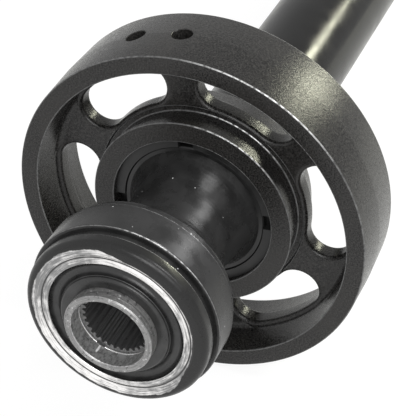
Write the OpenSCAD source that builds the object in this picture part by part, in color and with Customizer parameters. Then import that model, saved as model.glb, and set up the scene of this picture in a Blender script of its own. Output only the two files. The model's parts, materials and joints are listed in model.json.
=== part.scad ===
// Drive shaft end: a ball joint with a splined hub, and a spoked damper ring carried on the shaft.
// The shaft lies along X. The bolted flange is at the origin and the splined hub at the +X end.
// Turns about the shaft are counted from +Z towards -Y.

/* [Shaft tube] */
// Outside diameter of the tube
tube_d = 57; // [50:0.5:60]
// Wall thickness of the tube
tube_wall = 3; // [2:0.1:5]
// Length of the tube between its two ends
tube_l = 463; // [300:1:900]
// Width of a weld bead
weld_w = 5; // [3:0.5:8]
// Height of a weld bead above the tube
weld_h = 1; // [0.5:0.1:2]

/* [Rear flange] */
// Outside diameter of the flange
flange_d = 100; // [96:1:130]
// Thickness of the flange
flange_t = 10; // [7:0.5:16]
// Chamfer of the flange's edges
flange_edge = 1.2; // [0.5:0.1:2]
// Length of the neck between flange and tube
flange_neck_l = 16; // [10:1:40]
// How far the neck flares out beyond the tube at the flange
flange_flare = 3.5; // [1:0.5:4.5]
// Pitch circle diameter of the flange bolts
flange_pcd = 80; // [78:0.5:84]
// Number of flange bolts
flange_bolts = 6; // [3:1:8]
// Diameter of each flange bolt hole
flange_hole_d = 10.2; // [8:0.1:11]
// Depth of the registers that centre the tube on its two ends
register_l = 10; // [5:1:20]

/* [Neck and damper seat] */
// Diameter of the seat that carries the damper
seat_d = 68; // [64:0.5:72]
// Length of that seat
seat_l = 42; // [38:0.5:60]
// Length of the cone from the seat down to the tube
tail_l = 10; // [6:1:30]
// Diameter of the waist between seat and drum
waist_d = 55; // [48:0.5:60]
// Length from the seat to the collar behind the drum
neck_l = 56; // [50:0.5:80]
// Radius of the flare from the waist to the seat
seat_flare_r = 40; // [25:1:60]
// Radius of the flare from the waist to the collar
collar_flare_r = 26; // [18:1:34]

/* [Drum] */
// Diameter of the collar behind the drum
collar_d = 87.6; // [84:0.1:89]
// Length of that collar
collar_l = 6; // [4:0.5:10]
// Rounding of the collar's rear edge
collar_edge = 2.5; // [1:0.5:4]
// Diameter of the rim along the drum's rear edge
rim_d = 91; // [90:0.1:91.5]
// Width of that rim
rim_w = 2.6; // [1:0.1:4]
// Rounding of that rim's edge
rim_edge = 0.4; // [0.2:0.1:0.6]
// Diameter of the drum
drum_d = 92.6; // [92.4:0.1:104]
// Length of the drum with its rim
drum_l = 18.5; // [16:0.5:26]
// Rounding of the drum's front edge
drum_edge = 1.2; // [0.4:0.1:1.5]
// Diameter at the bottom of the open groove in front of the drum
groove_d = 87.2; // [86.5:0.1:88]
// Diameter of the spigot that the can is pressed on
spigot_d = 85.4; // [85:0.1:86.4]
// Length of that spigot
spigot_l = 8.1; // [7:0.1:12]

/* [Ball joint] */
// Pitch circle diameter of the balls
pitch_d = 65; // [63:0.5:66]
// Diameter of each ball
ball_d = 16; // [14:0.1:16.5]
// Wall thickness of the cage
cage_t = 6.7; // [5:0.1:7.5]
// Width of the cage along the shaft
cage_w = 20; // [18.5:0.1:21]
// Width of the hub's race along the shaft
race_w = 22; // [20:0.1:22.5]
// Distance from the drum's rear edge to the joint centre
joint_inset = 12; // [10:0.1:13]
// Largest working angle about either cross axis
work_angle = 8; // [4:0.5:9]

/* [Splined hub] */
// Outside diameter of the hub's stub
stub_d = 42.6; // [41:0.1:43]
// Distance from the joint centre to the stub's end face
stub_reach = 24; // [21:0.5:40]
// Diameter of the smooth pilot bore at the mouth
pilot_d = 36; // [35:0.1:37]
// Depth of the pilot bore
pilot_l = 8.8; // [6:0.1:10]
// Chamfer of the stub's end-face edges
stub_edge = 0.6; // [0.2:0.1:1]
// Number of spline teeth
spline_n = 32; // [20:1:40]
// Largest diameter of the splines
spline_major_d = 34; // [32:0.1:34.5]
// Smallest diameter of the splines
spline_minor_d = 31; // [28:0.1:31.5]
// Width of the shallow groove around the stub
stub_groove_w = 1.4; // [0.8:0.1:2]
// Depth of that groove
stub_groove_depth = 0.8; // [0.3:0.1:1.2]
// Distance of that groove from the end face
stub_groove_inset = 2.4; // [1.5:0.1:4]
// Wire diameter of the retaining ring
ring_wire_d = 1.2; // [0.8:0.1:1.6]
// Turn of the gap in the retaining ring
ring_gap_turn = 153; // [0:1:359]
// Opening of that gap in degrees
ring_gap = 14; // [4:1:40]
// Thickness of the plug that closes the rear of the hub
plug_t = 1.6; // [1:0.1:2.5]

/* [Can and boot] */
// Sheet thickness of the can
can_t = 1.6; // [1:0.1:2]
// Open groove between the drum and the can's skirt
can_groove_w = 3; // [1.5:0.1:3.5]
// Diameter of the can's open mouth
can_lip_d = 65.6; // [64.5:0.1:68]
// Corner radius between the can's skirt and face
can_corner_r = 4; // [2.5:0.1:4.5]
// Depth of the groove pressed around the can's face
can_bead_depth = 0.6; // [0.3:0.1:0.9]
// Width of that groove
can_bead_w = 2.9; // [1.5:0.1:3.5]
// Wall thickness of the boot
boot_t = 1.5; // [1:0.1:1.8]
// Radial width of the boot's bead behind the can
bead_w = 2.4; // [1.5:0.1:3]
// Outside diameter of the boot's collar on the stub
boot_collar_d = 53; // [50:0.5:54]
// How far the boot's collar stands in front of the hub's race
boot_collar_l = 6.6; // [5:0.1:8]
// Wire diameter of the seal under the can
seal_d = 1.8; // [1.4:0.1:2]

/* [Damper ring] */
// Outside diameter of the ring at its two faces
ring_d = 180; // [176:1:200]
// Swell of the ring's radius at its parting line
ring_swell = 0.6; // [0:0.1:1.2]
// Width of the ring along the shaft
ring_w = 43; // [38:1:60]
// Radial width of the ring's front land
land_w = 9.2; // [7:0.1:9.6]
// Draft of the ring's inner wall between face and web
ring_draft = 1.8; // [0.5:0.1:2.2]
// Rounding of the ring's four edges
ring_edge = 0.8; // [0.3:0.1:1.5]
// Distance from the seat's front end to the ring's front face
damper_lead = 9; // [5:0.5:12]
// Distance from the ring's front face to the web
web_inset = 18; // [15:0.5:20]
// Thickness of the web that holds the spokes
web_t = 10; // [8:0.5:14]
// Fillet where the web meets the ring and the hub
web_fillet = 2.5; // [1:0.1:3]
// Number of windows, and of spokes between them
windows = 6; // [5:1:7]
// Radial width of each window
window_w = 21.6; // [17:0.1:21.8]
// Radius at the middle of the windows
window_mid_r = 66.2; // [66:0.1:66.6]
// Narrowest width of each spoke
spoke_w = 17; // [12:0.5:24]
// Turn of the first spoke
spoke_turn = 8.8; // [0:0.1:60]

/* [Damper hub] */
// Outside diameter of the damper's hub
hub_d = 104; // [100:0.5:105]
// Distance from the ring's front face to the hub's front face
hub_inset = 5.4; // [3:0.1:8]
// Length of the hub along the shaft
hub_l = 34.6; // [32:0.1:38]
// Bore of the hub for the rubber
hub_bore_d = 82.8; // [80:0.1:86]
// Taper of the hub's outside from its front edge to the web
hub_taper = 1.7; // [0.5:0.1:2.5]
// Width of the relief groove where hub and web meet
relief_w = 3.6; // [2:0.1:4]
// Depth of that relief groove
relief_depth = 1.5; // [0.5:0.1:3]
// Diameter of each balance hole
balance_d = 10; // [6:0.5:14]
// Depth of each balance hole
balance_depth = 6; // [3:0.5:7]
// Turn of the first balance hole
balance_turn = 6.5; // [0:0.1:40]
// Turn from the first balance hole to the second
balance_step = 15.6; // [12:0.1:30]

/* [Damper bush] */
// Wall of the steel sleeve inside the rubber
sleeve_wall = 2.5; // [1.5:0.1:4]
// Chamfer of the sleeve's front edge
sleeve_edge = 0.6; // [0.2:0.1:1.2]
// Length of the sleeve
sleeve_l = 38; // [36:0.5:38]
// Length of the rubber along the shaft
rubber_l = 33; // [28:0.5:35]
// How far the rubber's front end stands back from the hub's face
rubber_inset = 3; // [1:0.1:4]
// Number of notches in the rubber's front end
notches = 4; // [2:1:6]
// Width of each notch
notch_w = 8; // [4:0.5:12]
// Depth of each notch
notch_depth = 5; // [2:0.5:10]
// Turn of the first notch
notch_turn = 5.5; // [0:0.5:89]

/* [Clearances] */
// Gap between the spherical faces of hub, cage and drum
sphere_gap = 0.3; // [0.25:0.01:0.4]
// Gap between a ball and its tracks
track_gap = 0.25; // [0.2:0.01:0.35]
// Gap between a ball and its window in the cage
pocket_gap = 0.15; // [0.05:0.01:0.2]
// Gap of parts that are pressed or bonded together
seat_gap = 0.03; // [0.01:0.01:0.06]
// Gap of the rubber and metal parts that lie against each other
lay_gap = 0.1; // [0.05:0.01:0.15]
// Gap between the can and the spigot's end, and between the can's lip and the boot
can_gap = 0.3; // [0.2:0.05:0.4]
// Gap between the hub's race and the boot
boot_gap = 0.5; // [0.3:0.05:0.8]

/* [Hidden] */
$fn = 96;

balls = 6;
arc_steps = 12;
edge_steps = 4;
over = 1;
drill_point = 118;
tooth_share = 0.34;
cavity_depth = 20;
mouth_sweep = 60;
sweep_spare = 1.5;
weld_steps = 6;
wire_facets = 24;
paint_black = "#262626";
cast_black = "#353533";
steel = "#8c8c8a";
zinc = "#d0d0cc";
rubber = "#1d1d1d";

tube_r = tube_d / 2;
register_r = tube_r - tube_wall - lay_gap;
seat_r = seat_d / 2;
waist_r = waist_d / 2;
collar_r = collar_d / 2;
rim_r = rim_d / 2;
drum_r = drum_d / 2;
groove_r = groove_d / 2;
spigot_r = spigot_d / 2;
pitch_r = pitch_d / 2;
ball_r = ball_d / 2;
stub_r = stub_d / 2;
pilot_r = pilot_d / 2;
lip_r = can_lip_d / 2;
ring_r = ring_d / 2;
hub_r = hub_d / 2;
hub_bore_r = hub_bore_d / 2;

// Stations along the shaft, from the flange to the splined end
x_tube = flange_t + flange_neck_l;
x_tail = x_tube + tube_l;
x_seat = x_tail + tail_l;
x_neck = x_seat + seat_l;
x_collar = x_neck + neck_l;
x_drum = x_collar + collar_l;
x_shoulder = x_drum + drum_l;
x_spigot = x_shoulder + spigot_l;
x_groove = x_shoulder + can_groove_w - can_gap;
x_joint = x_drum + joint_inset;
x_race = x_joint + race_w / 2;
x_stub = x_joint + stub_reach;
x_face = x_neck + damper_lead;
x_web = x_face - web_inset;
x_part = x_face - ring_w / 2;
x_hub = x_face - hub_inset;
x_pilot = x_stub - pilot_l;

// Spheres and ball tracks of the joint
cage_ir = pitch_r - cage_t / 2;
cage_or = pitch_r + cage_t / 2;
race_r = cage_ir - sphere_gap;
bowl_r = cage_or + sphere_gap;
track_r = ball_r + track_gap;
race_sweep = asin(race_w / 2 / (pitch_r - track_r));
bowl_sweep = work_angle + asin(ball_r / pitch_r) + sweep_spare;

// Boot and can
x_can_back = x_spigot + can_gap;
x_can_front = x_can_back + can_t;
can_ir = spigot_r + seat_gap;
can_or = can_ir + can_t;
bead_r = lip_r + bead_w;
bead_seat_depth = boot_t + 2 * lay_gap;
boot_collar_r = boot_collar_d / 2;

// Damper bush
sleeve_ir = seat_r + seat_gap;
sleeve_or = sleeve_ir + sleeve_wall;
rubber_ir = sleeve_or + seat_gap;
rubber_or = hub_bore_r - 2 * seat_gap;
x_rubber = x_hub - rubber_inset;

window_r = window_w / 2;
window_span = 180 / windows - (spoke_w / 2 + window_r) / window_mid_r * 180 / PI;

// Points of an arc about a centre, from one angle to another
function arc(c, r, a, b, n = arc_steps) = [
    for (i = [0:n])
        let (t = a + (b - a) * i / n)
        c + r * [cos(t), sin(t)]
];

// Angle at which a flare of radius r has risen by h
function flare_angle(h, r) = acos((r - h) / r);

// Solid of revolution about the shaft, from points of radius and station
module revolve(points) {
    rotate([0, 90, 0])
        rotate_extrude()
            polygon(points);
}

// Places its children on the shaft's axis, with their Z along the shaft
module on_axis(x) {
    translate([x, 0, 0])
        rotate([0, 90, 0])
            children();
}

// Turns its children about the shaft, so that their X points to the given turn
module at_turn(turn) {
    rotate([0, 0, 180 + turn])
        children();
}

// Curved ball track in one plane of the shaft, swept about the joint centre
module track(turn, a, b) {
    on_axis(x_joint)
        at_turn(turn)
            rotate([90, 0, 0])
                rotate([0, 0, a])
                    rotate_extrude(angle = b - a)
                        translate([pitch_r, 0])
                            circle(r = track_r);
}

// Rounded ridge of weld around the tube, its front edge at station x
function weld_points(x) = concat(
    [[tube_r - tube_wall / 2, x - weld_w]],
    [
        for (i = [0:weld_steps])
            let (t = 180 * i / weld_steps)
            [tube_r + weld_h * sin(t), x - weld_w / 2 * (1 + cos(t))]
    ],
    [[tube_r - tube_wall / 2, x]]
);

module shaft_tube() {
    color(paint_black) {
        revolve([
            [tube_r - tube_wall, x_tube],
            [tube_r, x_tube],
            [tube_r, x_tail],
            [tube_r - tube_wall, x_tail],
        ]);
        revolve(weld_points(x_tube + weld_w));
        revolve(weld_points(x_tail));
    }
}

module rear_flange() {
    flange_r = flange_d / 2;
    color(paint_black)
        difference() {
            revolve([
                [0, 0],
                [flange_r - flange_edge, 0],
                [flange_r, flange_edge],
                [flange_r, flange_t - flange_edge],
                [flange_r - flange_edge, flange_t],
                [tube_r + flange_flare, flange_t],
                [tube_r, x_tube],
                [register_r, x_tube],
                [register_r, x_tube + register_l],
                [0, x_tube + register_l],
            ]);
            on_axis(0)
                for (i = [0:flange_bolts - 1])
                    at_turn(i * 360 / flange_bolts)
                        translate([flange_pcd / 2, 0, -over])
                            cylinder(d = flange_hole_d, h = flange_t + 2 * over);
        }
}

// Outside of the forging: register, tail, seat, waist, collar, rim, drum, groove and spigot
function housing_points() =
    let (
        seat_a = flare_angle(seat_r - waist_r, seat_flare_r),
        collar_a = flare_angle(collar_r - collar_edge - waist_r, collar_flare_r),
        seat_c = [waist_r + seat_flare_r, x_neck + seat_flare_r * sin(seat_a)],
        collar_c = [waist_r + collar_flare_r, x_collar - collar_flare_r * sin(collar_a)]
    )
    concat(
        [
            [0, x_tail - register_l],
            [register_r, x_tail - register_l],
            [register_r, x_tail],
            [tube_r, x_tail],
            [seat_r, x_seat],
        ],
        arc(seat_c, seat_flare_r, 180 + seat_a, 180),
        arc(collar_c, collar_flare_r, 180, 180 - collar_a),
        arc([collar_r - collar_edge, x_collar + collar_edge], collar_edge, 270, 360, edge_steps),
        [[collar_r, x_drum]],
        arc([rim_r - rim_edge, x_drum + rim_edge], rim_edge, 270, 360, edge_steps),
        [
            [rim_r, x_drum + rim_w],
            [drum_r - rim_edge, x_drum + rim_w],
            [drum_r, x_drum + rim_w + rim_edge],
        ],
        arc([drum_r - drum_edge, x_shoulder - drum_edge], drum_edge, 0, 90, edge_steps),
        [
            [groove_r, x_shoulder],
            [groove_r, x_groove],
            [spigot_r, x_groove],
            [spigot_r, x_spigot],
            [0, x_spigot],
        ]
    );

module joint_housing() {
    color(paint_black)
        difference() {
            revolve(housing_points());
            intersection() {
                translate([x_joint, 0, 0])
                    sphere(r = bowl_r);
                on_axis(x_joint - cavity_depth)
                    cylinder(r = bowl_r + over, h = cavity_depth + bowl_r + over);
            }
            for (i = [0:balls - 1])
                track(i * 360 / balls, -bowl_sweep, mouth_sweep);
            on_axis(x_spigot - bead_seat_depth)
                cylinder(r = bead_r + lay_gap, h = bead_seat_depth + over);
            revolve([
                [spigot_r - seal_d - lay_gap, x_seal() - seal_d / 2 - lay_gap],
                [spigot_r + over, x_seal() - seal_d / 2 - lay_gap],
                [spigot_r + over, x_seal() + seal_d / 2 + lay_gap],
                [spigot_r - seal_d - lay_gap, x_seal() + seal_d / 2 + lay_gap],
            ]);
        }
}

// Station of the seal, in the middle of the can's skirt
function x_seal() = (x_shoulder + can_groove_w + x_spigot) / 2;

module can_seal() {
    color(rubber)
        on_axis(x_seal())
            rotate_extrude()
                translate([spigot_r - seal_d / 2 - lay_gap / 2, 0])
                    circle(d = seal_d, $fn = wire_facets);
}

// Pressed can: skirt, round corner, face with one pressed groove, rolled lip
module boot_can() {
    corner_c = [can_or - can_corner_r, x_can_front - can_corner_r];
    face_w = can_or - can_corner_r - lip_r;
    bead_mid = lip_r + face_w / 2;
    bead_half = can_bead_w / 2;
    bead_floor = bead_half / 3;
    lip_edge = can_t / 2;
    color(zinc)
        revolve(concat(
            [
                [can_ir, x_shoulder + can_groove_w],
                [can_or, x_shoulder + can_groove_w],
            ],
            arc(corner_c, can_corner_r, 0, 90),
            [
                [bead_mid + bead_half, x_can_front],
                [bead_mid + bead_floor, x_can_front - can_bead_depth],
                [bead_mid - bead_floor, x_can_front - can_bead_depth],
                [bead_mid - bead_half, x_can_front],
            ],
            arc([lip_r + lip_edge, x_can_front - lip_edge], lip_edge, 90, 180, edge_steps),
            [
                [lip_r, x_can_back],
                [can_ir, x_can_back],
            ]
        ));
}

// Rubber boot: bead behind the can, one trough, and a thick collar on the stub
module joint_boot() {
    bead_front = x_can_back - lay_gap;
    bead_back = bead_front - boot_t;
    collar_in = stub_r + lay_gap;
    boot_back = x_race + boot_gap;
    collar_front = x_race + boot_collar_l;
    trough_r = (lip_r + boot_collar_r) / 2;
    trough_x = boot_back + boot_t;
    fold_r = (lip_r - boot_collar_r) / 2 - can_gap;
    wall_r = trough_r + fold_r;
    color(rubber)
        revolve(concat(
            [
                [bead_r, bead_back],
                [bead_r, bead_front],
                [wall_r, bead_front],
            ],
            arc([trough_r, trough_x + fold_r], fold_r, 0, -180),
            [[boot_collar_r, collar_front - boot_t]],
            arc([boot_collar_r - boot_t, collar_front - boot_t], boot_t, 0, 90, edge_steps),
            [
                [collar_in, collar_front],
                [collar_in, boot_back],
                [wall_r, boot_back],
                [wall_r, bead_back],
            ]
        ));
}

// Outline of the internal splines, four points to a tooth
function spline_points() = [
    for (i = [0:spline_n - 1])
        for (p = [
            [spline_minor_d / 2, -tooth_share / 2],
            [spline_minor_d / 2, tooth_share / 2],
            [spline_major_d / 2, (1 - tooth_share) / 2],
            [spline_major_d / 2, (1 + tooth_share) / 2],
        ])
            let (a = (i + p[1]) * 360 / spline_n)
            p[0] * [cos(a), sin(a)]
];

// Inner race and splined stub in one piece
module splined_hub() {
    groove_front = x_stub - stub_groove_inset;
    wire_groove_w = ring_wire_d + lay_gap;
    color(steel)
        difference() {
            union() {
                intersection() {
                    translate([x_joint, 0, 0])
                        sphere(r = race_r);
                    on_axis(x_joint - race_w / 2)
                        cylinder(r = race_r + over, h = race_w);
                }
                revolve([
                    [0, x_joint],
                    [stub_r, x_joint],
                    [stub_r, groove_front - stub_groove_w],
                    [stub_r - stub_groove_depth, groove_front - stub_groove_w],
                    [stub_r - stub_groove_depth, groove_front],
                    [stub_r, groove_front],
                    [stub_r, x_stub - stub_edge],
                    [stub_r - stub_edge, x_stub],
                    [0, x_stub],
                ]);
            }
            for (i = [0:balls - 1])
                track(i * 360 / balls, -race_sweep, race_sweep);
            on_axis(x_joint - race_w / 2 - over)
                linear_extrude(height = race_w + stub_reach)
                    polygon(spline_points());
            on_axis(x_pilot)
                cylinder(r = pilot_r, h = pilot_l + over);
            revolve([
                [0, x_stub - stub_edge],
                [pilot_r, x_stub - stub_edge],
                [pilot_r + stub_edge, x_stub],
                [pilot_r + stub_edge, x_stub + over],
                [0, x_stub + over],
            ]);
            on_axis(x_pilot - wire_groove_w)
                cylinder(r = pilot_r + ring_wire_d, h = wire_groove_w);
            on_axis(x_joint - race_w / 2 - over)
                cylinder(r = pilot_r, h = plug_t + lay_gap + over);
        }
}

module hub_plug() {
    plug_r = pilot_r - seat_gap;
    plug_back = x_joint - race_w / 2;
    dish = plug_t / 2;
    color(steel)
        revolve([
            [0, plug_back + dish],
            [plug_r / 2, plug_back + dish],
            [plug_r - plug_t, plug_back],
            [plug_r, plug_back],
            [plug_r, plug_back + plug_t],
            [0, plug_back + plug_t],
        ]);
}

// Open wire ring sprung into its groove at the bottom of the pilot bore
module retaining_ring() {
    wire_r = ring_wire_d / 2;
    color(steel)
        on_axis(x_pilot - wire_r - lay_gap / 2)
            at_turn(ring_gap_turn + ring_gap / 2)
                rotate_extrude(angle = 360 - ring_gap)
                    translate([pilot_r + wire_r - lay_gap, 0])
                        circle(r = wire_r, $fn = wire_facets);
}

module ball_cage() {
    color(steel)
        difference() {
            intersection() {
                translate([x_joint, 0, 0])
                    sphere(r = cage_or);
                on_axis(x_joint - cage_w / 2)
                    cylinder(r = cage_or + over, h = cage_w);
            }
            translate([x_joint, 0, 0])
                sphere(r = cage_ir);
            on_axis(x_joint)
                for (i = [0:balls - 1])
                    at_turn(i * 360 / balls)
                        rotate([0, 90, 0])
                            cylinder(r = ball_r + pocket_gap, h = cage_or + over);
        }
}

module ball(i) {
    color(zinc)
        on_axis(x_joint)
            at_turn((i - 1) * 360 / balls)
                translate([pitch_r, 0, 0])
                    sphere(r = ball_r);
}

module damper_sleeve() {
    color(paint_black)
        revolve([
            [sleeve_ir, x_neck - sleeve_l],
            [sleeve_or, x_neck - sleeve_l],
            [sleeve_or, x_neck - sleeve_edge],
            [sleeve_or - sleeve_edge, x_neck],
            [sleeve_ir, x_neck],
        ]);
}

module damper_rubber() {
    color(rubber)
        difference() {
            revolve([
                [rubber_ir, x_rubber - rubber_l],
                [rubber_or, x_rubber - rubber_l],
                [rubber_or, x_rubber],
                [rubber_ir, x_rubber],
            ]);
            on_axis(x_rubber - notch_depth)
                for (i = [0:notches - 1])
                    at_turn(notch_turn + i * 360 / notches)
                        translate([0, -notch_w / 2, 0])
                            cube([rubber_or + over, notch_w, notch_depth + over]);
        }
}

// Points of a list without its first and last
function between(points) = [for (i = [1:len(points) - 2]) points[i]];

// Outline of one kidney-shaped window with round ends
function window_points() =
    let (end = window_mid_r * [cos(window_span), sin(window_span)])
    concat(
        arc([0, 0], window_mid_r + window_r, -window_span, window_span),
        between(arc(end, window_r, window_span, window_span + 180)),
        arc([0, 0], window_mid_r - window_r, window_span, -window_span),
        between(arc([end[0], -end[1]], window_r, 180 - window_span, 360 - window_span))
    );

module window_cut() {
    depth = web_t + 2 * web_fillet + 2 * over;
    translate([0, 0, -depth / 2])
        linear_extrude(height = depth)
            polygon(window_points());
}

// Section of the casting: drafted ring, web and tapered hub with its relief groove
function damper_points() =
    let (
        inner_r = ring_r - land_w,
        wall_r = inner_r - ring_draft,
        x_back = x_face - ring_w,
        web_back = x_web - web_t,
        hub_back = x_hub - hub_l,
        root_r = hub_r - hub_taper
    )
    [
        [hub_bore_r, hub_back],
        [hub_r - hub_taper - ring_edge, hub_back],
        [hub_r - hub_taper, hub_back + ring_edge],
        [hub_r, web_back - web_fillet],
        [hub_r + web_fillet, web_back],
        [wall_r - web_fillet, web_back],
        [wall_r, web_back - web_fillet],
        [inner_r, x_back + ring_edge],
        [inner_r + ring_edge, x_back],
        [ring_r - ring_edge, x_back],
        [ring_r, x_back + ring_edge],
        [ring_r + ring_swell, x_part],
        [ring_r, x_face - ring_edge],
        [ring_r - ring_edge, x_face],
        [inner_r + ring_edge, x_face],
        [inner_r, x_face - ring_edge],
        [wall_r, x_web + web_fillet],
        [wall_r - web_fillet, x_web],
        [root_r + relief_w, x_web],
        [root_r + relief_w - ring_edge, x_web - relief_depth],
        [root_r, x_web - relief_depth],
        [root_r, x_web + relief_depth],
        [hub_r, x_hub - ring_edge],
        [hub_r - ring_edge, x_hub],
        [hub_bore_r + ring_edge, x_hub],
        [hub_bore_r, x_hub - ring_edge],
    ];

// Drilled hole with a pointed floor, entering the ring from outside
module balance_cut() {
    floor_r = ring_r + ring_swell - balance_depth;
    point_l = balance_d / 2 / tan(drill_point / 2);
    translate([floor_r, 0, 0])
        rotate([0, 90, 0]) {
            cylinder(d = balance_d, h = balance_depth + over);
            mirror([0, 0, 1])
                cylinder(d1 = balance_d, d2 = 0, h = point_l);
        }
}

// Spoked casting: ring, web with windows, and hub
module damper_ring() {
    color(cast_black)
        difference() {
            rotate([spoke_turn, 0, 0])
                revolve(damper_points());
            on_axis(x_web - web_t / 2)
                for (i = [0:windows - 1])
                    at_turn(spoke_turn + (i + 0.5) * 360 / windows)
                        window_cut();
            on_axis(x_part)
                for (i = [0, 1])
                    at_turn(balance_turn + i * balance_step)
                        balance_cut();
        }
}

shaft_tube();
rear_flange();
joint_housing();
boot_can();
can_seal();
joint_boot();
splined_hub();
hub_plug();
retaining_ring();
ball_cage();
ball(1);  // ball_1
ball(2);  // ball_2
ball(3);  // ball_3
ball(4);  // ball_4
ball(5);  // ball_5
ball(6);  // ball_6
damper_sleeve();
damper_rubber();
damper_ring();
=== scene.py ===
import json
import math

import bmesh
import bpy
from mathutils import Matrix, Vector


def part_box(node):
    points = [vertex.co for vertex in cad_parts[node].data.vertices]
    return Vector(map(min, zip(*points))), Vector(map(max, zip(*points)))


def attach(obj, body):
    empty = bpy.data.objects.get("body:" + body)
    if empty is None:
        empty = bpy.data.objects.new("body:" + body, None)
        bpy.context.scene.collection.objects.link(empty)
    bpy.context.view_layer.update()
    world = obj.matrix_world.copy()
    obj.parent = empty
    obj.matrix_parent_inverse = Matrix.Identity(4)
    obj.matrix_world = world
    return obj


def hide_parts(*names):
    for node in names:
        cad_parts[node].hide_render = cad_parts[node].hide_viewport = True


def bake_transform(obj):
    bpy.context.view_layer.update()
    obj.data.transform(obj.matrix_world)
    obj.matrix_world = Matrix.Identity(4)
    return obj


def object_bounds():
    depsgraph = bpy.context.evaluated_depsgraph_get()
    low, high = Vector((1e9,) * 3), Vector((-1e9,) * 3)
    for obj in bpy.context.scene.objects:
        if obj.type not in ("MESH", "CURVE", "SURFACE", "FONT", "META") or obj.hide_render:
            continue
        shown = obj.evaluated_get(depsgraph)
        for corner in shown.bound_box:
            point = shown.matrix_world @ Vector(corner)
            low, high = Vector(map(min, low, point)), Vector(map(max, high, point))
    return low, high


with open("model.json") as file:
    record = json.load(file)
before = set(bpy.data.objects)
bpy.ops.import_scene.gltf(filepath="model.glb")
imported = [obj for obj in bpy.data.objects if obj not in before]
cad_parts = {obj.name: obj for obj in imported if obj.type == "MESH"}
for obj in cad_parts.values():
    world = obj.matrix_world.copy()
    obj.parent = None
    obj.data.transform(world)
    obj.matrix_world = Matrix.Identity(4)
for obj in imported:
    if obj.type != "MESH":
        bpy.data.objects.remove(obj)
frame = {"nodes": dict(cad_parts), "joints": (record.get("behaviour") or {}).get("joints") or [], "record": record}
CAD_BOX = [list(corner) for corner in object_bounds()]
NODES = frame["nodes"]
MM = 0.001

# Fillet radius in mm of the small outer edges, whose faces get the rubbed finish with its painted highlight
EDGE = 0.55

# Stations along the shaft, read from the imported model
can_low, can_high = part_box("boot_can")
X_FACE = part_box("damper_ring")[1].x
X_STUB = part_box("splined_hub")[1].x
JOINTS = {joint["name"]: joint for joint in frame["joints"]}
X_JOINT = JOINTS["joint_pitch"]["pos_m"][0]

# Camera, fitted to the photograph's ellipses and outline, about the centre of the ring's face
VIEW_AZIMUTH = 112.27
VIEW_ELEVATION = 37.05
VIEW_DEPTH = 678.2 * MM
VIEW_RIGHT = -10.5 * MM
VIEW_DOWN = 6.14 * MM
LENS = 121.15
SENSOR = 36.0


# Helpers for meshes. Lengths in outlines are in mm.

def link(obj):
    """The object, put into the scene."""
    bpy.context.scene.collection.objects.link(obj)
    return obj


def smooth(mesh, angle=35):
    """Smooth shading, with edges past an angle in degrees kept sharp."""
    mesh.shade_smooth()
    mesh.set_sharp_from_angle(angle=math.radians(angle))


def outward(mesh):
    """The mesh with all its faces turned outward and smooth."""
    bm = bmesh.new()
    bm.from_mesh(mesh)
    bmesh.ops.recalc_face_normals(bm, faces=bm.faces)
    bm.to_mesh(mesh)
    bm.free()
    smooth(mesh)
    return mesh


def circle_points(cx, cy, radius, turns):
    """Points about (cx, cy) at the given turns in radians."""
    return [(cx + radius * math.cos(t), cy + radius * math.sin(t)) for t in turns]


def arc(cx, cr, radius, start, end, steps):
    """Points (x, r) of an arc about (cx, cr), from one angle in degrees to another."""
    turns = [math.radians(start + (end - start) * i / steps) for i in range(steps + 1)]
    return circle_points(cx, cr, radius, turns)


def rounded(points, steps=6):
    """Closed outline of (x, r, fillet radius) corners, as (x, r, is a small edge) points."""
    longest = 0.49  # share of a side that one fillet may take
    out = []
    count = len(points)
    for i in range(count):
        a, b, c = (Vector(points[(i + k) % count][:2]) for k in (-1, 0, 1))
        radius = points[i][2]
        if radius == 0:
            out.append((b.x, b.y, False))
            continue
        u, v = (a - b).normalized(), (c - b).normalized()
        half = u.angle(v) / 2
        reach = min(radius / math.tan(half), (a - b).length * longest, (c - b).length * longest)
        centre = b + (u + v).normalized() * reach / math.cos(half)
        first, last = b + u * reach - centre, b + v * reach - centre
        sweep = first.angle(last) * math.copysign(1, first.cross(last))
        for k in range(steps + 1):
            point = centre + Matrix.Rotation(sweep * k / steps, 2) @ first
            out.append((point.x, point.y, radius == EDGE and k < steps))
    return out


def plain(points):
    """Outline of (x, r) points with no small edges."""
    return [(x, r, False) for x, r in points]


def lathe(name, outline, segments):
    """Solid of revolution about the shaft, with its small edges' faces marked 1."""
    count = len(outline)
    verts, faces, marks = [], [], []
    for s in range(segments):
        t = 2 * math.pi * s / segments
        verts += [(x * MM, -r * math.sin(t) * MM, r * math.cos(t) * MM) for x, r, edge in outline]
        a, b = s * count, (s + 1) % segments * count
        for i in range(count):
            j = (i + 1) % count
            faces.append((a + i, a + j, b + j, b + i))
            marks.append(int(outline[i][2]))
    mesh = bpy.data.meshes.new(name)
    mesh.from_pydata(verts, [], faces)
    mesh.polygons.foreach_set("material_index", marks)
    return link(bpy.data.objects.new(name, outward(mesh)))


# Helpers for materials

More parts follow.
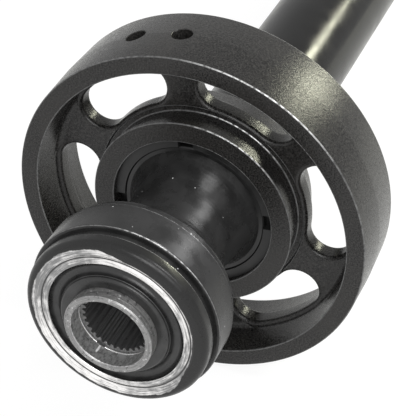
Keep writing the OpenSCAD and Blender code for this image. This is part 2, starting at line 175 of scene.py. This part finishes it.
class Tree:
    """A node tree, with short calls for the nodes that it needs."""

    def __init__(self, owner):
        owner.use_nodes = True
        self.tree = owner.node_tree

    def node(self, kind, **values):
        made = self.tree.nodes.new(kind)
        for key, value in values.items():
            setattr(made, key, value)
        return made

    def put(self, socket, value):
        """Sets a socket to a constant, or links an output to it."""
        if isinstance(value, (int, float, tuple)):
            socket.default_value = value
        else:
            self.tree.links.new(value, socket)

    def math(self, operation, a, b=0.0, c=0.0):
        made = self.node("ShaderNodeMath", operation=operation)
        for socket, value in zip(made.inputs, (a, b, c)):
            self.put(socket, value)
        return made.outputs[0]

    def ramp(self, value, low, high, out_low=0.0, out_high=1.0, shape="SMOOTHSTEP"):
        """Value between low and high, turned into one between out_low and out_high."""
        made = self.node("ShaderNodeMapRange", interpolation_type=shape)
        for socket, number in zip(made.inputs, (value, low, high, out_low, out_high)):
            self.put(socket, number)
        return made.outputs[0]

    def seen(self, reflected):
        """1 for rays from the camera or through glass, a given share for reflections, 0 for light."""
        path = self.node("ShaderNodeLightPath").outputs
        share = self.math("MULTIPLY", path["Is Glossy Ray"], reflected)
        for kind in ("Is Camera Ray", "Is Transmission Ray"):
            share = self.math("MAXIMUM", share, path[kind])
        return share


class Look(Tree):
    """One material, laid out in the part's own coordinates."""

    def __init__(self, name):
        self.mat = bpy.data.materials.new(name)
        super().__init__(self.mat)
        self.bsdf = self.tree.nodes["Principled BSDF"]
        self.place = self.node("ShaderNodeTexCoord").outputs["Object"]

    def mix(self, factor, a, b):
        """Colour a where the factor is 0, and b where it is 1."""
        made = self.node("ShaderNodeMix", data_type="RGBA")
        self.put(made.inputs[0], factor)
        self.put(made.inputs[6], a)
        self.put(made.inputs[7], b)
        return made.outputs[2]

    def noise(self, scale, detail=3.0, vector=None, rough=0.55):
        made = self.node("ShaderNodeTexNoise")
        self.put(made.inputs["Vector"], vector or self.place)
        self.put(made.inputs["Scale"], scale)
        self.put(made.inputs["Detail"], detail)
        self.put(made.inputs["Roughness"], rough)
        return made.outputs["Fac"]

    def specks(self, scale, size):
        """1 inside small scattered dots, 0 outside."""
        made = self.node("ShaderNodeTexVoronoi")
        self.put(made.inputs["Vector"], self.place)
        self.put(made.inputs["Scale"], scale)
        return self.ramp(made.outputs["Distance"], size, size * 0.6)

    def axes(self):
        """Station x, radius, and turn about the shaft from +Z towards +Y."""
        parts = self.node("ShaderNodeSeparateXYZ")
        self.put(parts.inputs[0], self.place)
        x, y, z = parts.outputs
        square = self.math("ADD", self.math("MULTIPLY", y, y), self.math("MULTIPLY", z, z))
        return x, self.math("SQRT", square), self.math("ARCTAN2", y, z)

    def around(self, along, across):
        """Coordinates that stretch a texture around the shaft."""
        x, radius, turn = self.axes()
        made = self.node("ShaderNodeCombineXYZ")
        self.put(made.inputs[0], self.math("MULTIPLY", x, across))
        self.put(made.inputs[1], self.math("MULTIPLY", radius, across))
        self.put(made.inputs[2], self.math("MULTIPLY", turn, along))
        return made.outputs[0]

    def facing(self, turn, to, times=1.0):
        """Cosine of a number of times the turn from a given side."""
        off = self.math("SUBTRACT", turn, to)
        return self.math("COSINE", self.math("MULTIPLY", off, times))

    def distance(self, value, to):
        return self.math("ABSOLUTE", self.math("SUBTRACT", value, to))

    def bump(self, height, distance, strength=1.0):
        made = self.node("ShaderNodeBump")
        self.put(made.inputs["Strength"], strength)
        self.put(made.inputs["Distance"], distance)
        self.put(made.inputs["Height"], height)
        self.put(self.bsdf.inputs["Normal"], made.outputs[0])

    def set(self, **values):
        """Sets the shader's sockets by name, and gives the material."""
        for key, value in values.items():
            self.put(self.bsdf.inputs[key.replace("_", " ")], value)
        return self.mat


def grey(level, warm=0.0):
    return (level * (1 + warm), level, level * (1 - warm), 1.0)


# Places that the finishes follow: the hub's pilot bore and the painted glint in it
PILOT_R = 18.0 * MM
X_PILOT = X_STUB - 8.8 * MM
GLINT_TURN = math.radians(-153)
GLINT_L = 5.5 * MM

# The side on which edges are rubbed most and carry a painted highlight: the side that faces the light
EDGE_HIGHLIGHT_TURN = math.radians(26)

# On the can's face: the paint's usual edge, the dark line of painted shade in the pressed groove, and the side
# that is painted further in
ZINC_R = 40.6 * MM
ZINC_GROOVE_R = 36.4 * MM
ZINC_PAINT_TURN = math.radians(65)

# The can's face has a painted highlight here and on the opposite side
ZINC_HIGHLIGHT_TURN = math.radians(30)


def paint(name, level, rough, grain, depth, shine=0.5, dust=0.0):
    """Black coating: faint mottling, fine grain in the gloss, dust specks of a given size."""
    look = Look(name)
    mottle = look.ramp(look.noise(scale=45, detail=4), 0.35, 0.65)
    colour = look.mix(mottle, grey(level * 0.7), grey(level * 1.4))
    if dust:
        colour = look.mix(look.specks(scale=170, size=dust), colour, grey(0.5))
    gloss = look.ramp(look.noise(scale=90, detail=4), 0.3, 0.7, rough * 0.75, rough * 1.25)
    look.bump(look.noise(grain, detail=5), depth, strength=0.6)
    return look.set(Base_Color=colour, Roughness=gloss, Specular_IOR_Level=shine)


def rubbed_highlit(name, metal):
    """Edge of a black coating, rubbed thin in places, with a painted highlight: brightest and most metallic on the
    side that faces the light.
    """
    look = Look(name)
    turn = look.axes()[2]
    # Painted highlight: the wear is strongest on the side that faces the light
    side = look.ramp(look.facing(turn, EDGE_HIGHLIGHT_TURN), 0.86, 0.985, 0.15, 1.0)
    wear_and_highlight = look.math("MULTIPLY", look.ramp(look.noise(scale=520, detail=4), 0.3, 0.6), side)
    colour = look.mix(wear_and_highlight, grey(0.05), grey(0.6))
    gloss = look.ramp(wear_and_highlight, 0.0, 1.0, 0.36, 0.28)
    return look.set(Base_Color=colour, Roughness=gloss, Metallic=look.math("MULTIPLY", wear_and_highlight, metal))


def casting(name):
    """Black coated casting: sand grain, with the sheen broken up by it."""
    look = Look(name)
    grain = look.noise(scale=1300, detail=5, rough=0.65)
    colour = look.mix(look.ramp(grain, 0.38, 0.64), grey(0.003), grey(0.042, 0.04))
    patch = look.ramp(look.noise(scale=30, detail=3), 0.4, 0.7)
    colour = look.mix(look.math("MULTIPLY", patch, 0.5), colour, grey(0.03, 0.06))
    gloss = look.ramp(look.noise(scale=900, detail=4), 0.35, 0.65, 0.12, 0.3)
    coarse = look.math("MULTIPLY", look.noise(scale=800, detail=3), 0.6)
    look.bump(look.math("ADD", grain, coarse), 0.14 * MM, strength=0.8)
    return look.set(Base_Color=colour, Roughness=gloss, Specular_IOR_Level=0.3)


def bare_zinc(look, streak, radius, turn):
    """Colour of the bare face: streaks, a painted highlight towards two opposite sides, dark specks, and one dark
    line of painted shade in the pressed groove around it.
    """
    # Painted highlight: the face is brighter towards two opposite sides
    lit = look.math("MULTIPLY_ADD", look.facing(turn, ZINC_HIGHLIGHT_TURN, 2.0), 0.1, streak)
    colour = look.mix(look.ramp(lit, 0.34, 0.66), grey(0.25), grey(0.96, 0.015))
    speck = look.noise(scale=2400, detail=4)
    colour = look.mix(look.ramp(speck, 0.66, 0.74), colour, grey(0.35))
    # Painted shade: a dark line in the pressed groove
    line = look.ramp(look.distance(radius, ZINC_GROOVE_R), 0.55 * MM, 0.2 * MM)
    return look.mix(line, colour, grey(0.08))


def zinc_can(name):
    """Bright streaked zinc on the face, black paint with a ragged edge on the corner and skirt."""
    look = Look(name)
    _, radius, turn = look.axes()
    rings = look.noise(scale=1.0, detail=4, vector=look.around(along=5.0, across=1500))
    cloud = look.noise(scale=270, detail=5)
    streak = look.math("MULTIPLY_ADD", cloud, 0.35, look.math("MULTIPLY", rings, 0.65))
    blotch = look.noise(scale=170, detail=5)
    side = look.facing(turn, ZINC_PAINT_TURN)
    limit = look.ramp(side, 0.25, 0.65, ZINC_R, ZINC_GROOVE_R + 0.8 * MM)
    ragged = look.math("MULTIPLY", look.math("SUBTRACT", blotch, 0.5), 2.4 * MM)
    edge = look.math("SUBTRACT", look.math("ADD", radius, ragged), limit)
    painted = look.ramp(edge, -0.1 * MM, 0.25 * MM)
    colour = look.mix(painted, bare_zinc(look, streak, radius, turn), grey(0.012))
    look.bump(streak, 0.1 * MM, strength=0.5)
    rough = look.ramp(blotch, 0.3, 0.7, 0.18, 0.4)
    metal = look.math("SUBTRACT", 1.0, painted)
    return look.set(Base_Color=colour, Roughness=rough, Metallic=metal, Specular_IOR_Level=0.35)


def bore_marks(look, colour, level):
    """Colour with a mottled pilot bore, painted shade on the splines deep in the bore and a painted glint, one
    bright white streak; and where the glint is.
    """
    x, radius, turn = look.axes()
    inside = look.ramp(radius, PILOT_R + 0.3 * MM, PILOT_R + 0.1 * MM)
    mottle = look.noise(scale=1.0, detail=5, vector=look.around(along=14, across=520))
    worn = look.ramp(mottle, 0.36, 0.62, 0.1, 0.9)
    colour = look.mix(look.math("MULTIPLY", inside, worn), colour, grey(level * 2.2))
    # Painted shade: the splines deep in the bore are darker
    deep_shade = look.ramp(x, X_PILOT, X_PILOT - 2 * MM)
    colour = look.mix(deep_shade, colour, grey(level * 0.55))
    # Painted glint: a bright white streak along the bore, not metallic
    near = look.ramp(look.distance(turn, GLINT_TURN), 0.036, 0.016)
    begun = look.ramp(x, X_PILOT, X_PILOT + 0.5 * MM)
    ended = look.ramp(x, X_PILOT + GLINT_L, X_PILOT + GLINT_L - 1.5 * MM)
    along = look.math("MULTIPLY", begun, ended)
    glint = look.math("MULTIPLY", inside, look.math("MULTIPLY", near, along))
    return look.mix(glint, colour, grey(1.0)), glint


def turned_steel(name, level, rough, metal=0.9, bore=False):
    """Grey turned steel with fine tool rings and scuffs."""
    look = Look(name)
    rings = look.noise(scale=1.0, detail=4, vector=look.around(along=1.5, across=3800))
    scuff = look.noise(scale=700, detail=5)
    colour = look.mix(look.ramp(rings, 0.3, 0.7), grey(level * 0.6), grey(level * 1.3, 0.01))
    colour = look.mix(look.ramp(scuff, 0.58, 0.7), colour, grey(min(level * 2.2, 0.95)))
    colour = look.mix(look.ramp(scuff, 0.42, 0.32), colour, grey(level * 0.35))
    # In the bore: painted shade deep inside and a painted glint
    if bore:
        colour, glint = bore_marks(look, colour, level)
        metal = look.ramp(glint, 0.0, 1.0, metal, 0.0)
    look.bump(rings, 0.08 * MM, strength=0.5)
    gloss = look.ramp(scuff, 0.3, 0.7, rough * 0.8, rough * 1.25)
    return look.set(Base_Color=colour, Roughness=gloss, Metallic=metal)


def rubber(name, level, rough):
    """Black rubber with a dusty bloom and a fine grain."""
    look = Look(name)
    dust = look.noise(scale=160, detail=5)
    colour = look.mix(look.ramp(dust, 0.4, 0.75), grey(level), grey(level * 1.9))
    look.bump(look.noise(scale=1500, detail=4), 0.06 * MM, strength=0.5)
    gloss = look.ramp(dust, 0.3, 0.7, rough * 0.85, rough * 1.15)
    return look.set(Base_Color=colour, Roughness=gloss)


LOOKS = {
    "shaft_paint": paint("shaft_gloss_black", level=0.006, rough=0.2, grain=900, depth=0.012 * MM,
                         shine=0.27),
    "joint_paint": paint("joint_satin_black", level=0.016, rough=0.27, grain=1400, depth=0.02 * MM,
                         shine=0.35, dust=0.07),
    "can_zinc": zinc_can("can_streaked_zinc"),
    "seal_rubber": rubber("seal_rubber", level=0.01, rough=0.5),
    "boot_rubber": rubber("boot_rubber", level=0.018, rough=0.3),
    "hub_steel": turned_steel("hub_turned_steel", level=0.28, rough=0.34, metal=0.6, bore=True),
    "ring_steel": turned_steel("wire_bright_steel", level=0.85, rough=0.2),
    "cage_steel": turned_steel("cage_ground_steel", level=0.3, rough=0.35),
    "ball_steel": turned_steel("ball_polished_steel", level=0.7, rough=0.1),
    "sleeve_paint": paint("sleeve_black", level=0.008, rough=0.4, grain=1200, depth=0.02 * MM),
    "damper_rubber": rubber("bush_rubber", level=0.01, rough=0.5),
    "damper_casting": casting("damper_cast_black"),
}
CAST_EDGE = rubbed_highlit("cast_edge_rubbed_highlit", metal=0.7)
PAINT_EDGE = rubbed_highlit("paint_edge_rubbed_highlit", metal=0.6)


def dress(obj, slot, edge=None):
    """Gives a piece its finish, and its faces marked 1 a second one."""
    # Clearing the list resets the marks, so a new piece is left alone
    if obj.data.materials:
        obj.data.materials.clear()
    obj.data.materials.append(LOOKS[slot])
    if edge:
        obj.data.materials.append(edge)


def rub_and_highlight(node, bands):
    """Marks the faces of a node that lie in bands of (x, x, r, r) in mm, for the rubbed edge finish with its
    painted highlight.
    """
    for face in node.data.polygons:
        x, y, z = (value / MM for value in face.center)
        r = math.hypot(y, z)
        face.material_index = int(any(
            x_low <= x <= x_high and r_low <= r <= r_high for x_low, x_high, r_low, r_high in bands
        ))


CAD_SHARP = 30
for entry in frame["record"]["subparts"]:
    node = NODES[entry["node"]]
    dress(node, entry["material_slot"])
    smooth(node.data, CAD_SHARP)

# Edges of the drum: rear rim, step and front shoulder, given the rubbed edge finish with its painted highlight
DRUM_BANDS = [(602.9, 603.5, 45.0, 45.6), (605.5, 606.1, 45.8, 46.4), (620.8, 621.1, 46.0, 46.15)]
dress(NODES["joint_housing"], "joint_paint", PAINT_EDGE)
rub_and_highlight(NODES["joint_housing"], DRUM_BANDS)

# Damper ring: the casting with its rounded edges, six windows and two balance holes.
# Lengths are in mm, and insets are depths behind the ring's face.

RING_R = 90.0
RING_SWELL = 0.6
RING_W = 43.0
RING_SEGMENTS = 288
RING_SHARP = 32
INNER_R = 80.8
WALL_R = 79.0
WEB_INSET = 18.0
WEB_T = 10.0
HUB_R = 52.0
HUB_FLARE = 1.0
HUB_ROOT_R = 50.3
HUB_BORE_R = 41.4
HUB_INSET = 5.4
HUB_L = 34.6
RELIEF_R = 53.9
RELIEF_DEPTH = 1.5
RELIEF_DRAFT = 0.6
ROOT_FILLET = 1.0
FILLET = 4.0
WINDOWS = 6
WINDOW_MID_R = 66.2
WINDOW_R = 10.8
WINDOW_EDGE = 2.2
WINDOW_STEPS = 20
EDGE_STEPS = 6
SPOKE_W = 17.0
SPOKE_TURN = 8.8
BALANCE_R = 5.0
BALANCE_DEPTH = 6.0
BALANCE_TURNS = (6.5, 22.1)
BALANCE_SIDES = 40
DRILL_TIP_L = 2.6
DRILL_TIP_R = 0.4
MOUTH_START = 0.1
MOUTH_FLARE = 1.9

# How far the cutters stand past the web, and past the ring's outside
WINDOW_PAST = 6.0
BALANCE_PAST = 2.0


def damper_outline():
    """Corners of the casting's section as (depth behind the face, radius, fillet)."""
    back = RING_W
    web_back = WEB_INSET + WEB_T
    hub_back = HUB_INSET + HUB_L
    relief = WEB_INSET + RELIEF_DEPTH
    rim = [
        (0, INNER_R, EDGE), (0, RING_R, EDGE), (back / 2, RING_R + RING_SWELL, 0),
        (back, RING_R, EDGE), (back, INNER_R, EDGE), (web_back, WALL_R, FILLET),
    ]
    hub = [
        (web_back, HUB_R + HUB_FLARE, FILLET), (hub_back, HUB_ROOT_R, EDGE), (hub_back, HUB_BORE_R, EDGE),
        (HUB_INSET, HUB_BORE_R, EDGE), (HUB_INSET, HUB_R, EDGE),
        (WEB_INSET - RELIEF_DEPTH, HUB_ROOT_R, ROOT_FILLET),
    ]
    web = [
        (relief, HUB_ROOT_R, EDGE), (relief, RELIEF_R - RELIEF_DRAFT, EDGE),
        (WEB_INSET, RELIEF_R, EDGE), (WEB_INSET, WALL_R, FILLET),
    ]
    return rim + hub + web


def kidney(offset):
    """Outline of one window grown by offset, as (u, v) points along and across its turn."""
    span = math.pi / WINDOWS - (SPOKE_W / 2 + WINDOW_R) / WINDOW_MID_R
    r = WINDOW_R + offset
    steps = WINDOW_STEPS
    forth = [-span + 2 * span * i / steps for i in range(steps + 1)]
    back = [span - 2 * span * i / steps for i in range(steps + 1)]
    half_turn = [math.pi * i / steps for i in range(1, steps)]
    u, v = WINDOW_MID_R * math.cos(span), WINDOW_MID_R * math.sin(span)
    points = circle_points(0, 0, WINDOW_MID_R + r, forth)
    points += circle_points(u, v, r, [span + t for t in half_turn])
    points += circle_points(0, 0, WINDOW_MID_R - r, back)
    points += circle_points(u, -v, r, [-span + math.pi + t for t in half_turn])
    return points


def place(depth, u, v, turn):
    """Row-frame point at a depth behind the ring's face, from (u, v) along and across a turn."""
    t = math.radians(turn)
    y = -u * math.sin(t) - v * math.cos(t)
    z = u * math.cos(t) - v * math.sin(t)
    return (X_FACE - depth * MM, y * MM, z * MM)


def add_loft(verts, faces, rings):
    """Adds a closed solid through rings of equal point counts."""
    first = len(verts)
    count = len(rings[0])
    for ring in rings:
        verts += ring
    for k in range(len(rings) - 1):
        a, b = first + k * count, first + (k + 1) * count
        for i in range(count):
            j = (i + 1) % count
            faces.append((a + i, a + j, b + j, b + i))
    faces.append(tuple(range(first + count - 1, first - 1, -1)))
    last = first + (len(rings) - 1) * count
    faces.append(tuple(range(last, last + count)))


def window_wall():
    """Steps through a window as (depth, growth of its outline), with both edges rounded."""
    front, back = WEB_INSET, WEB_INSET + WEB_T
    quarter = [math.pi / 2 * k / EDGE_STEPS for k in range(EDGE_STEPS + 1)]
    near = [(front + WINDOW_EDGE * (1 - math.cos(t)), WINDOW_EDGE * (1 - math.sin(t))) for t in quarter]
    far = [(back - WINDOW_EDGE * (1 - math.sin(t)), WINDOW_EDGE * (1 - math.cos(t))) for t in quarter]
    return [(front - WINDOW_PAST, WINDOW_EDGE)] + near + far + [(back + WINDOW_PAST, WINDOW_EDGE)]


def balance_rings(turn):
    """Rings of one drilled balance hole, from its tip to past the ring's outside."""
    floor = RING_R + RING_SWELL - BALANCE_DEPTH
    steps = [
        (floor - DRILL_TIP_L, DRILL_TIP_R), (floor, BALANCE_R), (RING_R + MOUTH_START, BALANCE_R),
        (RING_R + BALANCE_PAST, BALANCE_R + MOUTH_FLARE),
    ]
    turns = [2 * math.pi * k / BALANCE_SIDES for k in range(BALANCE_SIDES)]
    return [
        [place(depth, u, v, turn) for depth, v in circle_points(RING_W / 2, 0, radius, turns)]
        for u, radius in steps
    ]


def damper_cutter():
    """One object with the solids of all windows and balance holes."""
    verts, faces = [], []
    for i in range(WINDOWS):
        turn = SPOKE_TURN + (i + 0.5) * 360 / WINDOWS
        add_loft(verts, faces, [
            [place(depth, u, v, turn) for u, v in kidney(offset)] for depth, offset in window_wall()
        ])
    for turn in BALANCE_TURNS:
        add_loft(verts, faces, balance_rings(turn))
    mesh = bpy.data.meshes.new("damper_cutter")
    mesh.from_pydata(verts, [], faces)
    return link(bpy.data.objects.new("damper_cutter", outward(mesh)))


def crease(mesh, radius):
    """Keeps the parting line, the casting's widest circle, as a sharp edge."""
    slack = 0.05 * MM
    widest = [math.hypot(v.co.y, v.co.z) > radius - slack for v in mesh.vertices]
    for edge in mesh.edges:
        if all(widest[i] for i in edge.vertices):
            edge.use_edge_sharp = True


def cut(body, cutter):
    """Takes the cutter's solids out of the casting, and removes the cutter."""
    tool = body.modifiers.new("cut", "BOOLEAN")
    tool.operation = "DIFFERENCE"
    tool.solver = "EXACT"
    tool.object = cutter
    graph = bpy.context.evaluated_depsgraph_get()
    mesh = bpy.data.meshes.new_from_object(body.evaluated_get(graph))
    body.modifiers.clear()
    body.data = mesh
    bpy.data.objects.remove(cutter)
    smooth(mesh, RING_SHARP)
    crease(mesh, (RING_R + RING_SWELL) * MM)


face_mm = X_FACE / MM
section = [(face_mm - depth, r, fillet) for depth, r, fillet in damper_outline()]
casting_piece = lathe("damper_casting", rounded(section), RING_SEGMENTS)
dress(casting_piece, "damper_casting", CAST_EDGE)
cut(casting_piece, damper_cutter())
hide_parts("damper_ring")
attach(casting_piece, "damper")

# Pressed can: skirt, round corner, face with one pressed groove, rolled lip

CAN_BACK = can_low.x / MM
CAN_FRONT = can_high.x / MM
CAN_R = can_high.z / MM
CAN_T = 1.6
CAN_CORNER = 4.0
CAN_LIP_R = 32.8
CAN_LIP_FILLET = 0.8
CAN_INNER_FILLET = 0.3
CAN_SEGMENTS = 224
BEAD_W = 2.9
BEAD_DEPTH = 0.6
BEAD_TOP_FILLET = 0.6
BEAD_FLOOR_FILLET = 0.4


def can_outline():
    """Corners of the can's section as (x, radius, fillet)."""
    inner = CAN_R - CAN_T
    mid = (CAN_R - CAN_CORNER + CAN_LIP_R) / 2
    floor = CAN_FRONT - BEAD_DEPTH
    half, flat = BEAD_W / 2, BEAD_W / 6
    skirt = [(CAN_BACK, inner, 0), (CAN_BACK, CAN_R, EDGE), (CAN_FRONT, CAN_R, CAN_CORNER)]
    bead = [
        (CAN_FRONT, mid + half, BEAD_TOP_FILLET), (floor, mid + flat, BEAD_FLOOR_FILLET),
        (floor, mid - flat, BEAD_FLOOR_FILLET), (CAN_FRONT, mid - half, BEAD_TOP_FILLET),
    ]
    lip = [
        (CAN_FRONT, CAN_LIP_R, CAN_LIP_FILLET), (CAN_FRONT - CAN_T, CAN_LIP_R, CAN_INNER_FILLET),
        (CAN_FRONT - CAN_T, inner, 0),
    ]
    return skirt + bead + lip


can_piece = lathe("can_shell", rounded(can_outline()), CAN_SEGMENTS)
dress(can_piece, "can_zinc", PAINT_EDGE)
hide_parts("boot_can")
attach(can_piece, "shaft")

# Rubber boot: an outer half that reaches from the shaft to the cage, an inner half from the cage to the hub.
# Stations are in mm in front of the joint's centre.

LIP_R = 32.8
LIP_X = 14.8
TROUGH_R = 29.65
TROUGH_X = 13.0
BOOT_BACK = 11.5
BOOT_T = 1.5
BOOT_SEGMENTS = 160
BEAD_R = 35.2
BEAD_X = 13.3
COLLAR_R = 26.5
COLLAR_X = 17.6
COLLAR_BORE_R = 21.4
LIP_GAP = 0.3
FOLD_R = LIP_R - TROUGH_R - LIP_GAP
FOLD_TOP_R = TROUGH_R + FOLD_R
FOLD_STEPS = 10
COLLAR_STEPS = 8


def boot_half(name, outline):
    """One half of the boot, turned from an outline in mm in front of the joint's centre."""
    piece = lathe(name, plain((X_JOINT / MM + x, r) for x, r in outline), BOOT_SEGMENTS)
    dress(piece, "boot_rubber")
    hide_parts("joint_boot")
    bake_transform(piece)


outer_half = [(BEAD_X, BEAD_R), (LIP_X, BEAD_R), (LIP_X, FOLD_TOP_R)]
outer_half += arc(TROUGH_X + FOLD_R, TROUGH_R, FOLD_R, 90, 180, FOLD_STEPS)
outer_half += [(BOOT_BACK, TROUGH_R), (BOOT_BACK, FOLD_TOP_R), (BEAD_X, FOLD_TOP_R)]
boot_half("boot_outer", outer_half)

inner_half = [(BOOT_BACK, TROUGH_R)]
inner_half += arc(TROUGH_X + FOLD_R, TROUGH_R, FOLD_R, 180, 270, FOLD_STEPS)
inner_half += arc(COLLAR_X - BOOT_T, COLLAR_R - BOOT_T, BOOT_T, 90, 0, COLLAR_STEPS)
inner_half += [(COLLAR_X, COLLAR_BORE_R), (BOOT_BACK, COLLAR_BORE_R)]
boot_half("boot_inner", inner_half)

# Floor, light and camera

scene = bpy.context.scene
scene.view_settings.view_transform = "Standard"

FLOOR_Z = CAD_BOX[0][2] - 0.2 * MM
FLOOR_HALF = 6.0
FLOOR_GLOW = 1.12
FLOOR_GLOW_SHARE = 0.8
SKY_LIGHT = 0.47

# Reflections of the space behind the ring are dimmed, as by a grey cloth: its share of the glow,
# and where it fades out, as stations on the floor and as the x of a direction in the sky
CLOTH = 0.45
CLOTH_X = (X_FACE - 100 * MM, X_FACE + 100 * MM)
CLOTH_SKY = (-0.5, 0.3)


def make_floor():
    """White floor that glows for the camera and in reflections, and takes soft shadows."""
    mesh = bpy.data.meshes.new("floor")
    corners = [(-1, -1), (1, -1), (1, 1), (-1, 1)]
    mesh.from_pydata([(x * FLOOR_HALF, y * FLOOR_HALF, FLOOR_Z) for x, y in corners], [], [(0, 1, 2, 3)])
    floor = link(bpy.data.objects.new("floor", mesh))
    look = Look("floor_white")
    cloth = look.ramp(look.axes()[0], *CLOTH_X, CLOTH, 1.0)
    glow = look.node("ShaderNodeEmission")
    look.put(glow.inputs["Strength"], FLOOR_GLOW)
    blend = look.node("ShaderNodeMixShader")
    look.put(blend.inputs[0], look.math("MULTIPLY", look.seen(cloth), FLOOR_GLOW_SHARE))
    look.put(blend.inputs[1], look.bsdf.outputs[0])
    look.put(blend.inputs[2], glow.outputs[0])
    look.put(look.tree.nodes["Material Output"].inputs["Surface"], blend.outputs[0])
    look.set(Base_Color=grey(0.86), Roughness=0.9)
    mesh.materials.append(look.mat)


def make_world():
    """White surroundings, dimmer as a light than as a background."""
    scene.world = bpy.data.worlds.new("studio")
    sky = Tree(scene.world)
    direction = sky.node("ShaderNodeSeparateXYZ")
    sky.put(direction.inputs[0], sky.node("ShaderNodeTexCoord").outputs["Generated"])
    cloth = sky.ramp(direction.outputs[0], *CLOTH_SKY, CLOTH, 1.0, shape="LINEAR")
    level = sky.ramp(sky.seen(cloth), 0.0, 1.0, SKY_LIGHT, 1.0, shape="LINEAR")
    background = sky.tree.nodes["Background"]
    sky.put(background.inputs["Color"], grey(1.0))
    sky.put(background.inputs["Strength"], level)


def softbox(name, direction, distance, size, power, tint=(1.0, 1.0, 1.0)):
    """Area lamp in a direction from the ring's face, aimed at its centre."""
    light = bpy.data.lights.new(name, "AREA")
    light.shape = "RECTANGLE"
    light.size, light.size_y = size
    light.energy = power
    light.color = tint
    lamp = link(bpy.data.objects.new(name, light))
    away = Vector(direction).normalized()
    lamp.location = Vector((X_FACE, 0, 0)) + away * distance
    lamp.rotation_euler = away.to_track_quat("Z", "Y").to_euler()
    lamp.visible_camera = False
    return lamp


def link_set(name, state):
    """Collection that includes the joint's forging in a lamp's reach, or leaves it out."""
    made = bpy.data.collections.new(name)
    made.objects.link(NODES["joint_housing"])
    made.collection_objects[0].light_linking.link_state = state
    return made


def make_lamps():
    """Key, strip and fill, and two lamps that reach the forging's waist past the ring around it."""
    key = {"direction": (-0.80, 0.42, 0.42), "distance": 1.3, "size": (0.26, 0.26)}
    main = softbox("key_light", power=6, tint=(1.0, 1.0, 0.78), **key)
    main.light_linking.receiver_collection = link_set("all_but_forging", "EXCLUDE")
    softbox("top_strip", direction=(0.0, 0.6, 0.8), distance=1.2, size=(0.15, 0.6), power=4.5)
    softbox("front_fill", direction=(0.74, 0.3, 0.6), distance=1.4, size=(0.8, 0.8), power=9)
    waist = softbox("waist_light", direction=(-0.26, 0.36, 0.9), distance=1.2, size=(0.2, 0.2), power=7)
    second = softbox("key_on_forging", power=6.5, **key)
    forging = link_set("forging", "INCLUDE")
    for lamp in (waist, second):
        lamp.light_linking.receiver_collection = forging
        lamp.light_linking.blocker_collection = forging


def make_camera():
    """The photograph's view."""
    a, e = math.radians(VIEW_AZIMUTH), math.radians(VIEW_ELEVATION)
    back = Vector((math.sin(a) * math.cos(e), -math.cos(a) * math.cos(e), math.sin(e)))
    right = Vector((math.cos(a), math.sin(a), 0))
    up = back.cross(right)
    data = bpy.data.cameras.new("camera")
    data.lens = LENS
    data.sensor_width = SENSOR
    camera = link(bpy.data.objects.new("camera", data))
    face = Vector((X_FACE, 0, 0))
    camera.location = face - right * VIEW_RIGHT + up * VIEW_DOWN + back * VIEW_DEPTH
    camera.rotation_euler = back.to_track_quat("Z", "Y").to_euler()
    scene.camera = camera


make_floor()
make_world()
make_lamps()
make_camera()
